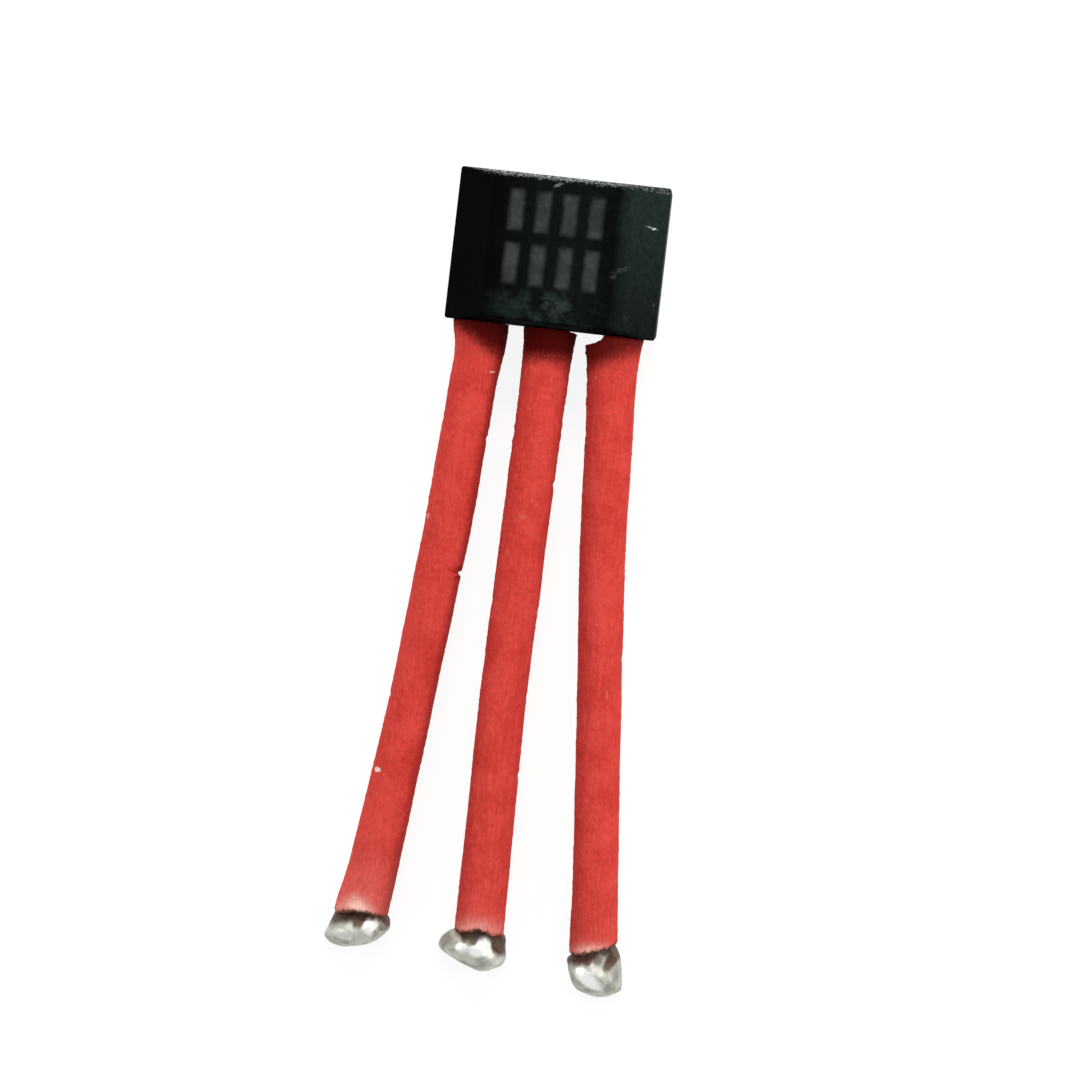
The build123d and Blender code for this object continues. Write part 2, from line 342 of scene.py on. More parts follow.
def sleeve_skin(side, angle, distance, share, lip):
    """The sleeve's radius at one place: its form, slight waves, fibres, flakes and dents."""
    form = sleeve_forms[side]
    across = math.cos(angle)
    leftness = max(0.0, -across) ** 2
    radius = float(np.interp(share, *zip(*form["widths"])))
    radius += form["flare_left"] * leftness * math.exp(-((distance / flare_length) ** 2))
    radius += form["flare_foot"] * leftness * smooth_step(*foot_reach, lip)
    bulge = noise.noise(Vector((across * 1.2, distance * 1.3, sleeve_seeds[side] + 2)))
    radius += bulge_height * bulge
    for height, waves_round, waves_along, shift in skin_waves:
        radius += height * skin_noise(side, angle, distance, waves_round, waves_along, shift)
    flake = max(0.0, skin_noise(side, angle, distance, 6, 7, 4) - flake_level)
    radius += (flake_height + flake_rise * smooth_step(*flake_stretch, distance)) * flake
    if lip < lip_length:
        radius -= lip_shrink * (1 - max(0.0, lip) / lip_length) ** 2
    for place, degrees, depth, half_length, half_width in sleeve_dents[side]:
        turn = (angle - math.radians(degrees) + math.pi) % (2 * math.pi) - math.pi
        away = ((distance - place) / half_length) ** 2 + (turn * radius / half_width) ** 2
        if away < 9:  # further away a dent is too shallow to matter
            radius -= depth * math.exp(-away)
    return radius


def sleeve_ends(side, angle):
    """Where the sleeve starts and ends at one angle: ragged cuts, neither of them square."""
    across = math.cos(angle)
    upper = skin_start + np.interp(across, *zip(*sleeve_forms[side]["upper_cut"]))
    upper += 0.022 * abs(skin_noise(side, angle, 0.0, 9, 1))
    lower = paths[side].length - bare_tip + np.interp(across, *zip(*lower_cuts[side]))
    lower += 0.025 * skin_noise(side, angle, 0.0, 5, 1, 5)
    return upper, lower


def end_highlight_share(side, beyond, reach, angle):
    """How strong the painted highlight is at one place, on the upper side of a sleeve's lower end."""
    total = 0.0
    for place, aside, half_length, half_width, amount in painted_end_highlights[side]:
        along = (beyond - place) / half_length
        sideways = (reach - aside) / half_width
        total += amount * math.exp(-along ** 2 - sideways ** 2)
    return total * smooth_step(-0.3, 0.3, math.sin(angle))


def build_sleeve(side, material):
    """A tube with a flared, rough upper end, a shrunk lower end, dents and a fibrous skin."""
    path = paths[side]
    columns, rows = 96, 440
    crowding = 1.05  # above 1, the rings are closer together near the package
    bore_shares = (1.0, 0.97, 0.8, 0.6, 0.4, 0.2, 0.03, 0.0)
    angles = np.linspace(0, 2 * math.pi, columns, endpoint=False)
    cuts = [sleeve_ends(side, angle) for angle in angles]
    stations = [(share, True) for share in np.linspace(0, 1, rows) ** crowding]
    stations += [(share, False) for share in bore_shares]
    vertices = []
    values = {"to_end": [], "end_highlight": [], "right": []}
    for share, outside in stations:
        for angle, (upper, lower) in zip(angles, cuts):
            distance = upper + (lower - upper) * share
            lip = lower - distance
            if outside:
                radius = sleeve_skin(side, angle, distance, share, lip)
            else:
                radius = sleeve_bore_radius * (bore_flare if share == 0.0 else 1.0)
            x, y, side_x, side_y = path.frame_at(distance)
            reach = radius * math.cos(angle)
            z = lead_centre + radius * math.sin(angle)
            vertices.append((x + side_x * reach, y + side_y * reach, max(z, sleeve_gap)))
            beyond = distance - (path.length - bare_tip)
            values["to_end"].append(lip)
            values["end_highlight"].append(end_highlight_share(side, beyond, reach, angle))
            values["right"].append(math.cos(angle))
    faces = ring_faces(len(stations), columns)
    last = (len(stations) - 1) * columns
    for column in range(columns):
        after = (column + 1) % columns
        faces.append((last + column, last + after, after, column))
    faces = [face[::-1] for face in faces]
    make_piece(
        f"sleeve_skin_{side}", vertices, faces, values, material, f"sleeve_{side}",
    )


def patch_share(patches, along, aside):
    """How strongly soft patches, given as in the tables above, cover one place in plan."""
    total = 0.0
    for distance, sideways, half_length, half_width, degrees, amount in patches:
        turn = math.radians(degrees)
        dy, dx = along - distance, aside - sideways
        length = (dy * math.cos(turn) + dx * math.sin(turn)) / half_length
        width = (dx * math.cos(turn) - dy * math.sin(turn)) / half_width
        total = max(total, amount * smooth_step(1.4, 0.6, math.hypot(length, width)))
    return total


def bead_section(side, distance):
    """At one place along a bead: its left and right edges, its top, and how open its section is."""
    stations, lefts, rights = (np.array(row) for row in zip(*solder_outlines[side]))
    neck, peak_place, peak, _ = solder_crests[side]
    tip = stations[-1] + solder_nose
    left = smooth_interp(distance, stations, lefts)
    right = smooth_interp(distance, stations, rights)
    fall = max(0.0, (distance - peak_place) / (tip - peak_place))
    rise = smooth_step(0.02, peak_place, distance)
    top = neck + (peak - neck) * rise - (peak - solder_waist) * (1 - math.sqrt(1 - fall ** 2))
    closed = max(0.0, (distance - tip + solder_closing) / solder_closing)
    return left, right, top, math.sqrt(max(0.0, 1 - closed ** 2))


def bead_point(side, section, distance, angle):
    """How far aside and how high a bead's surface is, at one angle round its section."""
    left, right, top, opening = section
    seed = bead_seeds[side]
    crest_shift = solder_crests[side][-1]
    fullness = 0.9  # 1 is an ellipse, less is boxier
    across, up = math.cos(angle), math.sin(angle)
    half = (right - left) / 2 * opening
    reach = (left + right) / 2 + half * math.copysign(abs(across) ** fullness, across)
    if up >= 0:
        reach += crest_shift * up ** 2 * opening
        z = solder_waist + (top - solder_waist) * up ** fullness
    else:  # flat below, and lifting off the surface towards the tip
        drop = 1 - 0.4 * (1 - opening)
        z = solder_waist * (1 - drop * min(1.0, abs(up) * 1.35) ** 0.8)
    swell = 0.014 * noise.noise(Vector((reach * 1.8 + seed, distance * 1.8, z * 1.8)))
    swell += 0.003 * noise.noise(Vector((reach * 6 + seed, distance * 6, z * 4)))
    reach *= 1 + 1.2 * swell
    z += swell * opening * max(0.0, up)
    return reach, z


def flux_share(side, distance, reach, z):
    """How much burnt flux lies on one place on a bead."""
    fringe = 0.05 * noise.noise(Vector((reach * 9, z * 3, bead_seeds[side] + 3)))
    edge = np.interp(reach, *zip(*flux_edges[side])) + fringe
    sheet = smooth_step(edge + 0.14, edge - 0.09, distance)
    return max(sheet, patch_share(flux_streaks[side], distance, reach))


def build_solder(side, material):
    """A solder bead that wets the bare end of the lead, with burnt flux against the sleeve."""
    path = paths[side]
    columns, rows = 112, 120
    start = path.length - bare_tip
    first, (last_place, last_left, last_right) = solder_outlines[side][0][0], solder_outlines[side][-1]
    tip = last_place + solder_nose
    vertices = []
    values = {"burnt": [], "painted_highlight": []}
    for row in range(rows):
        distance = first + (tip - first) * math.sin(math.pi / 2 * row / rows)
        section = bead_section(side, distance)
        x, y, side_x, side_y = path.frame_at(start + distance)
        for column in range(columns):
            angle = 2 * math.pi * column / columns
            reach, z = bead_point(side, section, distance, angle)
            vertices.append((x + side_x * reach, y + side_y * reach, max(0.0, z)))
            values["burnt"].append(flux_share(side, distance, reach, z))
            # Painted highlights, on the upper side only
            lit = math.sin(angle) > 0
            values["painted_highlight"].append(patch_share(painted_solder_highlights[side], distance, reach) if lit else 0.0)
    x, y, side_x, side_y = path.frame_at(start + tip)
    middle = (last_left + last_right) / 2
    vertices.append((x + side_x * middle, y + side_y * middle, solder_waist * 0.7))
    values["burnt"].append(0.0)
    values["painted_highlight"].append(0.0)
    faces = [face[::-1] for face in ring_faces(rows, columns)]
    faces.append(tuple(range(columns)))
    last = (rows - 1) * columns
    for column in range(columns):
        faces.append((last + column, len(vertices) - 1, last + (column + 1) % columns))
    make_piece(
        f"solder_bead_{side}", vertices, faces, values, material, f"solder_tip_{side}",
    )


# ---------------------------------------------------------------- materials

class Shader:
    """A node material with its Principled surface and its coordinates in millimetres."""

    def __init__(self, name):
        self.material = bpy.data.materials.new(name)
        self.material.use_nodes = True
        self.tree = self.material.node_tree
        self.surface = self.tree.nodes["Principled BSDF"]
        coordinates = self.tree.nodes.new("ShaderNodeTexCoord")
        scaled = self.tree.nodes.new("ShaderNodeVectorMath")
        scaled.operation = "SCALE"
        scaled.inputs["Scale"].default_value = 1 / MM
        self.tree.links.new(coordinates.outputs["Object"], scaled.inputs[0])
        self.place = scaled.outputs[0]
        parts = self.tree.nodes.new("ShaderNodeSeparateXYZ")
        self.tree.links.new(self.place, parts.inputs[0])
        self.x, self.y, self.z = parts.outputs

    def feed(self, socket, value):
        """Links a socket to another, or sets it."""
        if isinstance(value, bpy.types.NodeSocket):
            self.tree.links.new(value, socket)
        else:
            socket.default_value = value

    def math(self, operation, first, second=0.0, third=0.0):
        """One sum with up to three numbers or sockets."""
        step = self.tree.nodes.new("ShaderNodeMath")
        step.operation = operation
        for socket, value in zip(step.inputs, (first, second, third)):
            self.feed(socket, value)
        return step.outputs[0]

    def times(self, first, second):
        """The product of the two."""
        return self.math("MULTIPLY", first, second)

    def size_of(self, value):
        """The value without its sign."""
        return self.math("ABSOLUTE", value)

    def sway(self, value, texture, amount):
        """Moves a value to and fro with a texture, by up to half the amount either way."""
        return self.math("MULTIPLY_ADD", self.math("SUBTRACT", texture, 0.5), amount, value)

    def spread(self, value, low, high, to_low=0.0, to_high=1.0):
        """Takes low..high smoothly to to_low..to_high."""
        step = self.tree.nodes.new("ShaderNodeMapRange")
        step.interpolation_type = "SMOOTHSTEP"
        for name, number in (("From Min", low), ("From Max", high),
                             ("To Min", to_low), ("To Max", to_high)):
            step.inputs[name].default_value = number
        self.feed(step.inputs["Value"], value)
        return step.outputs["Result"]

    def mix(self, share, first, second):
        """Goes from the first colour to the second as the share goes from 0 to 1."""
        step = self.tree.nodes.new("ShaderNodeMix")
        step.data_type = "RGBA"
        self.feed(step.inputs["Factor"], share)
        # sockets 6 and 7 in and 2 out are the ones for colours
        for socket, colour in ((step.inputs[6], first), (step.inputs[7], second)):
            self.feed(socket, colour if isinstance(colour, bpy.types.NodeSocket) else (*colour, 1.0))
        return step.outputs[2]

    def grain(self, scale, detail=3.0, roughness=0.55, stretch=(1, 1, 1), distortion=0.0, shift=0.0):
        """Noise with so many waves to the millimetre: the scale times the stretch of each axis."""
        mapping = self.tree.nodes.new("ShaderNodeMapping")
        mapping.inputs["Scale"].default_value = stretch
        mapping.inputs["Location"].default_value = (shift, shift * 0.7, shift * 1.3)
        self.tree.links.new(self.place, mapping.inputs["Vector"])
        texture = self.tree.nodes.new("ShaderNodeTexNoise")
        texture.inputs["Scale"].default_value = scale
        texture.inputs["Detail"].default_value = detail
        texture.inputs["Roughness"].default_value = roughness
        texture.inputs["Distortion"].default_value = distortion
        self.tree.links.new(mapping.outputs[0], texture.inputs["Vector"])
        return texture.outputs["Fac"]

    def value_of(self, label):
        """One of a mesh's per-vertex values."""
        attribute = self.tree.nodes.new("ShaderNodeAttribute")
        attribute.attribute_name = label
        return attribute.outputs["Fac"]

    def facing(self):
        """The surface's own direction in the part's frame."""
        geometry = self.tree.nodes.new("ShaderNodeNewGeometry")
        parts = self.tree.nodes.new("ShaderNodeSeparateXYZ")
        self.tree.links.new(geometry.outputs["True Normal"], parts.inputs[0])
        return parts.outputs

    def bump(self, height, distance, strength=1.0):
        """Fine relief, as deep as the distance in millimetres where the height goes from 0 to 1."""
        step = self.tree.nodes.new("ShaderNodeBump")
        step.inputs["Strength"].default_value = strength
        step.inputs["Distance"].default_value = distance * MM
        self.tree.links.new(height, step.inputs["Height"])
        self.tree.links.new(step.outputs[0], self.surface.inputs["Normal"])

    def finish(self, colour, **numbers):
        """Gives the surface its colour and the other values named."""
        self.feed(self.surface.inputs["Base Color"], colour)
        for name, value in numbers.items():
            self.feed(self.surface.inputs[name.replace("_", " ")], value)
        return self.material


def fleck(shader, centre, size, degrees):
    """A mask for one small irregular mark on the marked side, centred in plan."""
    turn = math.radians(degrees)
    raggedness = 0.55
    dx = shader.math("SUBTRACT", shader.x, centre[0])
    dy = shader.math("SUBTRACT", shader.y, centre[1])
    along = shader.math(
        "ADD",
        shader.times(dx, math.cos(turn) / size[0]),
        shader.times(dy, math.sin(turn) / size[0]),
    )
    across = shader.math(
        "SUBTRACT",
        shader.times(dy, math.cos(turn) / size[1]),
        shader.times(dx, math.sin(turn) / size[1]),
    )
    squares = shader.math("ADD", shader.times(along, along), shader.times(across, across))
    reach = shader.math("SQRT", squares)
    edge = shader.sway(reach, shader.grain(14.0, 2.0, shift=centre[0]), 2 * raggedness)
    return shader.spread(edge, 1.1, 0.5)


compound_gloss = 0.006
compound_black = (0.0016, 0.0020, 0.0015)
film_and_sheen_grey = (0.0180, 0.0280, 0.0235)
worn_and_glare_grey = (0.20, 0.22, 0.205)
painted_glint_white = (0.70, 0.73, 0.71)
pit_black = (0.006, 0.007, 0.006)
chip_grey = (0.20, 0.21, 0.20)
rim_grey = (0.16, 0.17, 0.16)
flank_grey = (0.06, 0.065, 0.06)
dust_grey = (0.70, 0.74, 0.72)
mark_grey = (0.050, 0.056, 0.050)
# Dust and small scratches on the package, as on the real one: (place, half sizes, degrees,
# strength). The faint ones, under 0.1, are patchy.
body_flecks = (
    ((-0.02, 1.275), (0.11, 0.036), 22, 0.17),
    ((1.79, 0.67), (0.13, 0.022), -12, 0.25),
    ((1.83, 0.655), (0.04, 0.022), 30, 0.75),
    ((1.37, -0.20), (0.19, 0.060), 20, 0.050),
    ((1.21, -0.33), (0.09, 0.10), 10, 0.042),
    ((1.97, -0.81), (0.016, 0.08), 4, 0.07),
    ((0.16, -1.05), (0.30, 0.22), 0, 0.018),
    ((1.52, -1.12), (0.05, 0.18), 4, 0.010),
)


def compound_look(shader):
    """Colour, fine grain and clouds of the black moulding compound, with a painted sheen, for body and
    marking.
    """
    clouds = shader.grain(0.9, 4.0, 0.55, shift=3.1)
    mottle = shader.grain(9.0, 4.0, 0.6)
    smears = shader.grain(2.4, 4.0, 0.6, distortion=0.2, shift=8.4)
    # a painted sheen, partly a dusty film: greyer away from the left side, lighter on the right facet
    # and smeared along the lower edge
    cloudy_x = shader.math("MULTIPLY_ADD", clouds, 0.9, shader.x)
    middle = shader.spread(cloudy_x, -1.0, 0.5, 0.0, 0.20)
    middle = shader.times(middle, shader.spread(cloudy_x, 1.1, 1.5, 1.0, 0.45))
    facet_x = shader.math("MULTIPLY_ADD", clouds, 0.40, shader.x)
    facet = shader.spread(facet_x, 1.24, 1.74, 0.0, 0.85)
    facet = shader.times(facet, shader.spread(shader.y, -1.7, 1.3, 0.42, 1.0))
    lower_y = shader.math("MULTIPLY_ADD", smears, -0.7, shader.y)
    lower = shader.spread(lower_y, -0.95, -1.45)
    lower = shader.times(lower, shader.spread(shader.size_of(shader.x), 1.45, 0.10))
    lower = shader.times(lower, shader.spread(smears, 0.38, 0.62, 0.15, 1.1))
    film_and_sheen = shader.math("MAXIMUM", shader.math("MAXIMUM", middle, facet), lower)
    film_and_sheen = shader.times(film_and_sheen, shader.spread(mottle, 0.27, 0.70, 0.66, 1.20))
    return shader.mix(film_and_sheen, compound_black, film_and_sheen_grey), mottle, clouds


def worn_glaring_upper_end(shader, colour, facing, specks, coarse):
    """The upper end face above its parting line: scuffed grey, partly a painted glare, with painted
    glints and with pits, mostly in the middle. Gives the new colour and the mask."""
    above_line = shader.sway(shader.math("SUBTRACT", shader.z, half_height), coarse, 0.3)
    worn_and_glare = shader.spread(facing[1], 0.80, 0.97)
    worn_and_glare = shader.times(worn_and_glare, shader.spread(shader.x, -2.0, -0.9, 0.30, 1.0))
    worn_and_glare = shader.times(worn_and_glare, shader.spread(shader.x, 0.8, 1.7, 1.0, 0.25))
    worn_and_glare = shader.times(worn_and_glare, shader.spread(above_line, -0.16, 0.03))
    worn_and_glare = shader.times(worn_and_glare, shader.spread(above_line, 0.10, 0.76, 1.0, 0.50))
    # Grey that is partly wear and partly painted glare
    grey = shader.times(worn_and_glare, shader.spread(coarse, 0.36, 0.60, 0.15, 0.60))
    colour = shader.mix(grey, colour, worn_and_glare_grey)
    # Painted glints
    painted_glints = shader.times(worn_and_glare, shader.spread(specks, 0.52, 0.62))
    colour = shader.mix(painted_glints, colour, painted_glint_white)
    pits = shader.times(worn_and_glare, shader.spread(specks, 0.48, 0.42))
    return shader.mix(pits, colour, pit_black), worn_and_glare


def worn_edges(shader, colour, facing, specks, coarse, mottle):
    """Chips along the marked face's upper edge, a scuffed rim between the leads at the lower
    end, and slight wear on the two sides."""
    ragged = shader.math("ADD", shader.times(specks, 0.20), shader.times(coarse, 0.08))
    chip_y = shader.math("ADD", shader.math("SUBTRACT", ragged, 0.14), shader.y)
    chips = shader.spread(chip_y, body_high.y - 0.120, body_high.y - 0.090)
    chips = shader.times(chips, shader.spread(specks, 0.50, 0.60))
    chips = shader.times(chips, shader.spread(shader.x, -1.7, -0.9, 0.0, 0.8))
    chips = shader.times(chips, shader.spread(facing[2], 0.3, 0.6))
    colour = shader.mix(chips, colour, chip_grey)
    rim_y = shader.math("SUBTRACT", shader.y, shader.times(specks, 0.10))
    rim = shader.spread(rim_y, body_low.y + 0.020, body_low.y - 0.030)
    off_gap = shader.math("SUBTRACT", shader.size_of(shader.x), lead_places["output"] / 2)
    rim = shader.times(rim, shader.spread(shader.size_of(off_gap), 0.42, 0.22))
    off_line = shader.size_of(shader.math("SUBTRACT", shader.z, half_height))
    rim = shader.times(rim, shader.spread(off_line, 0.30, 0.08))
    rim = shader.times(rim, shader.spread(specks, 0.50, 0.62, 0.0, 0.45))
    colour = shader.mix(rim, colour, rim_grey)
    flanks_worn = shader.spread(shader.size_of(facing[0]), 0.9, 0.98)
    flanks_worn = shader.times(flanks_worn, shader.spread(mottle, 0.3, 0.6, 0.2, 0.6))
    return shader.mix(flanks_worn, colour, flank_grey)


def compound_material():
    """The package's black compound, with the wear, dust and scratches of the real one, and a painted
    sheen, glare and glints.
    """
    shader = Shader("mould_compound_black")
    colour, mottle, clouds = compound_look(shader)
    facing = shader.facing()
    specks = shader.grain(1.0, 3.0, 0.8, stretch=(26, 15, 7), shift=7.0)
    coarse = shader.grain(5.0, 3.0, 0.6, shift=2.7)
    colour, worn_and_glare = worn_glaring_upper_end(shader, colour, facing, specks, coarse)
    colour = worn_edges(shader, colour, facing, specks, coarse, mottle)
    patchy = shader.spread(shader.grain(11.0, 3.0, 0.65, shift=5.5), 0.40, 0.60)
    for centre, size, degrees, strength in body_flecks:
        mask = shader.times(fleck(shader, centre, size, degrees), strength)
        if strength < 0.1:
            mask = shader.times(mask, patchy)
        colour = shader.mix(mask, colour, dust_grey)
    shader.bump(shader.math("MULTIPLY_ADD", worn_and_glare, shader.times(specks, 3.0), mottle), 0.012, 0.6)
    duller_ends = shader.spread(shader.size_of(facing[1]), 0.80, 0.97, 0.0, 0.35)
    rough = shader.math("ADD", shader.spread(clouds, 0.3, 0.7, 0.46, 0.62), duller_ends)
    return shader.finish(colour, Roughness=rough, Specular_IOR_Level=compound_gloss)


def marking_material():
    """The same compound, discoloured in worn blocks that fade towards their edges."""
    shader = Shader("marking_worn_grey")
    colour, mottle, _ = compound_look(shader)
    columns, rows = 4, 2
    gap = 0.15
    pitch_x = (mark_high.x - mark_low.x + gap) / columns
    pitch_y = (mark_high.y - mark_low.y + gap) / rows
    masks = []
    for place, low, pitch in ((shader.x, mark_low.x, pitch_x), (shader.y, mark_low.y, pitch_y)):
        first = low + (pitch - gap) / 2
        local = shader.math("WRAP", shader.math("SUBTRACT", place, first), pitch / 2, -pitch / 2)
        masks.append(shader.math("SUBTRACT", shader.size_of(local), (pitch - gap) / 2))
    edge = shader.math("SMOOTH_MAX", masks[0], masks[1], 0.10)
    frayed = shader.sway(edge, shader.grain(5.5, 4.0, 0.6, shift=9.0), 0.07)
    block = shader.spread(frayed, 0.005, -0.12)
    strength = shader.spread(shader.grain(2.6, 3.0, 0.55, shift=4.0), 0.32, 0.68, 0.55, 1.0)
    shade = shader.times(block, strength)
    shade = shader.times(shade, shader.spread(mottle, 0.25, 0.6, 0.75, 1.0))
    shader.bump(mottle, 0.012, 0.6)
    return shader.finish(
        shader.mix(shade, colour, mark_grey), Roughness=0.62, Specular_IOR_Level=compound_gloss,
    )


red_deep = (0.575, 0.043, 0.033)
red_full = (0.700, 0.069, 0.055)
red_light_thread = (0.84, 0.14, 0.115)
red_light_weave = (0.82, 0.13, 0.105)
red_dark = (0.45, 0.024, 0.018)
flank_shade_red = (0.16, 0.007, 0.006)
painted_shadow_red = (0.075, 0.0010, 0.0012)
highlight_pink = (1.0, 0.60, 0.50)
char_brown = (0.13, 0.060, 0.040)
scuff_pale = (0.88, 0.76, 0.70)
nick_shade_dark = (0.10, 0.004, 0.003)


def sleeve_cloth(shader, fibres, threads, weave, clouds):
    """The clean sleeve's red, lighter and darker along its threads."""
    mixed = shader.math("MULTIPLY_ADD", fibres, 0.45, shader.times(clouds, 0.55))
    colour = shader.mix(shader.spread(mixed, 0.36, 0.64), red_deep, red_full)
    colour = shader.mix(shader.spread(threads, 0.56, 0.74, 0.0, 0.28), colour, red_light_thread)
    colour = shader.mix(shader.spread(threads, 0.44, 0.28, 0.0, 0.32), colour, red_dark)
    colour = shader.mix(shader.spread(weave, 0.60, 0.80, 0.0, 0.35), colour, red_light_weave)
    return shader.mix(shader.spread(weave, 0.38, 0.22, 0.0, 0.40), colour, red_dark)


def sleeve_painted_shade(shader, side, colour, fibres, weave, clouds):
    """Painted shade along one flank, and a painted shadow where the sleeve meets the package."""
    towards, start, strength = flank_shades[side]
    flank = shader.times(shader.value_of("right"), float(towards))
    flank = shader.sway(flank, weave, 0.35)
    # Painted shade darkens one flank
    colour = shader.mix(shader.spread(flank, start, 1.0, 0.0, strength), colour, flank_shade_red)
    reach, lean, strength = painted_package_shadow[side]
    off_lead = shader.math("SUBTRACT", shader.x, lead_places[side])
    leaned = shader.math("MULTIPLY_ADD", off_lead, lean, shader.y)
    for texture, amount in ((fibres, 0.25), (weave, 0.35), (clouds, 0.30)):
        leaned = shader.sway(leaned, texture, amount)
    foot = body_low.y - reach
    # Painted shadow of the package, and a painted contact shadow right against it
    upper = shader.spread(leaned, foot - 0.20, foot + 0.23, 0.0, strength)
    contact_shadow = shader.spread(shader.y, body_low.y - 0.22, body_low.y, 0.0, 0.93)
    return shader.mix(shader.math("MAXIMUM", upper, contact_shadow), colour, painted_shadow_red)


def sleeve_highlight_and_char(shader, colour, fibres, threads, clouds):
    """Painted highlights towards the lower end, on its upper side, and charred in wisps at the very
    lip.
    """
    end_highlight = shader.value_of("end_highlight")
    end_highlight = shader.times(end_highlight, shader.spread(threads, 0.3, 0.7, 0.72, 1.2))
    end_highlight = shader.times(end_highlight, shader.spread(clouds, 0.3, 0.7, 0.85, 1.1))
    # Painted highlights and a broad painted lightening on the lower end's upper side
    colour = shader.mix(end_highlight, colour, highlight_pink)
    fringe = shader.sway(shader.value_of("to_end"), fibres, 0.20)
    fringe = shader.sway(fringe, threads, 0.14)
    return shader.mix(shader.spread(fringe, 0.065, -0.005, 0.0, 0.92), colour, char_brown)


def sleeve_material(side):
    """Red insulation: fine lengthwise fibres, scuffs, painted shade along a flank and beside a nick, a
    painted shadow below the package, and a lower end with painted highlights and a charred lip.
    """
    shader = Shader(f"sleeve_red_{side}")
    fibres = shader.grain(1.0, 4.0, 0.65, stretch=(16, 2.2, 16), shift=2.0)
    threads = shader.grain(1.0, 3.0, 0.6, stretch=(32, 5, 32), shift=6.3)
    clouds = shader.grain(1.6, 4.0, 0.55, shift=5.0)
    weave = shader.grain(1.0, 3.0, 0.6, stretch=(20, 13, 20))
    colour = sleeve_cloth(shader, fibres, threads, weave, clouds)
    colour = sleeve_painted_shade(shader, side, colour, fibres, weave, clouds)
    colour = sleeve_highlight_and_char(shader, colour, fibres, threads, clouds)
    for centre, size, degrees, strength in sleeve_flecks[side]:
        mask = shader.times(fleck(shader, centre, size, degrees), abs(strength))
        # The dark marks are painted shade beside a nick
        colour = shader.mix(mask, colour, scuff_pale if strength > 0 else nick_shade_dark)
    shader.bump(shader.math("ADD", threads, weave), 0.018, 0.7)
    rough = shader.spread(clouds, 0.3, 0.7, 0.55, 0.70)
    return shader.finish(colour, Roughness=rough, Specular_IOR_Level=0.025)


solder_pale = (0.54, 0.54, 0.48)
solder_grey = (0.31, 0.31, 0.27)
solder_streak = (0.20, 0.20, 0.175)
painted_foot_shade = (0.14, 0.15, 0.135)
highlight_white = (1.0, 1.0, 0.97)
flux_brown = (0.068, 0.024, 0.018)
flux_grey = (0.115, 0.080, 0.054)
flux_black = (0.045, 0.028, 0.018)


def solder_material():
    """Satin solder with painted highlights in whiter, smoother patches, under brown burnt flux where
    it meets the sleeve.
    """
    shader = Shader("solder_painted_highlights_and_flux")
    frost = shader.grain(3.0, 4.0, 0.55, shift=1.0)
    fine = shader.grain(16.0, 3.0, 0.6)
    streaks = shader.grain(1.0, 3.0, 0.6, stretch=(14, 3, 5), shift=3.3)
    satin = shader.mix(shader.spread(frost, 0.36, 0.64), solder_pale, solder_grey)
    satin = shader.mix(shader.spread(streaks, 0.54, 0.70, 0.0, 0.35), satin, solder_streak)
    # Painted dark reflection, darker towards the foot
    satin = shader.mix(shader.spread(shader.z, 0.40, 0.02, 0.0, 0.70), satin, painted_foot_shade)
    # Painted highlights: whiter, smoother patches
    painted_highlight = shader.times(shader.value_of("painted_highlight"), shader.spread(fine, 0.25, 0.45, 0.85, 1.0))
    metal = shader.mix(painted_highlight, satin, highlight_white)
    wisps = shader.grain(1.0, 3.0, 0.6, stretch=(11, 4, 6), shift=6.0)
    burnt = shader.value_of("burnt")
    burnt = shader.sway(burnt, wisps, shader.spread(burnt, 0.0, 0.35, 0.0, 0.9))
    flux = shader.math("POWER", shader.spread(burnt, 0.0, 0.95), 0.8)
    brown = shader.mix(shader.spread(frost, 0.38, 0.62), flux_brown, flux_grey)
    brown = shader.mix(shader.spread(wisps, 0.40, 0.25, 0.0, 0.6), brown, flux_black)
    shader.bump(shader.math("MULTIPLY_ADD", fine, 0.3, frost), 0.010, 0.5)
    return shader.finish(
        shader.mix(flux, metal, brown),
        Metallic=shader.math("SUBTRACT", 1.0, flux),
        Roughness=shader.spread(painted_highlight, 0.0, 1.0, 0.54, 0.20),
        Specular_IOR_Level=0.15,
    )


def metal_material(name, light, dark, rough_low, rough_high, stretch=(1, 1, 1), scale=8.0):
    """A metal with drawn or plated grain."""
    shader = Shader(name)
    grain = shader.grain(scale, 4.0, 0.6, stretch=stretch)
    colour = shader.mix(shader.spread(grain, 0.3, 0.7), light, dark)
    shader.bump(grain, 0.008, 0.5)
    rough = shader.spread(grain, 0.3, 0.7, rough_low, rough_high)
    return shader.finish(colour, Metallic=1.0, Roughness=rough)


def stone_material(name, light, dark, roughness):
    """A non-metal inside the package: the die and the layer that holds it."""
    shader = Shader(name)
    grain = shader.grain(12.0, 4.0, 0.6)
    colour = shader.mix(shader.spread(grain, 0.35, 0.65), light, dark)
    shader.bump(grain, 0.004, 0.4)
    return shader.finish(colour, Roughness=roughness)


def dress(node, material):
    """Puts a material on a CAD node."""
    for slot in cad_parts[node].material_slots:
        slot.material = material


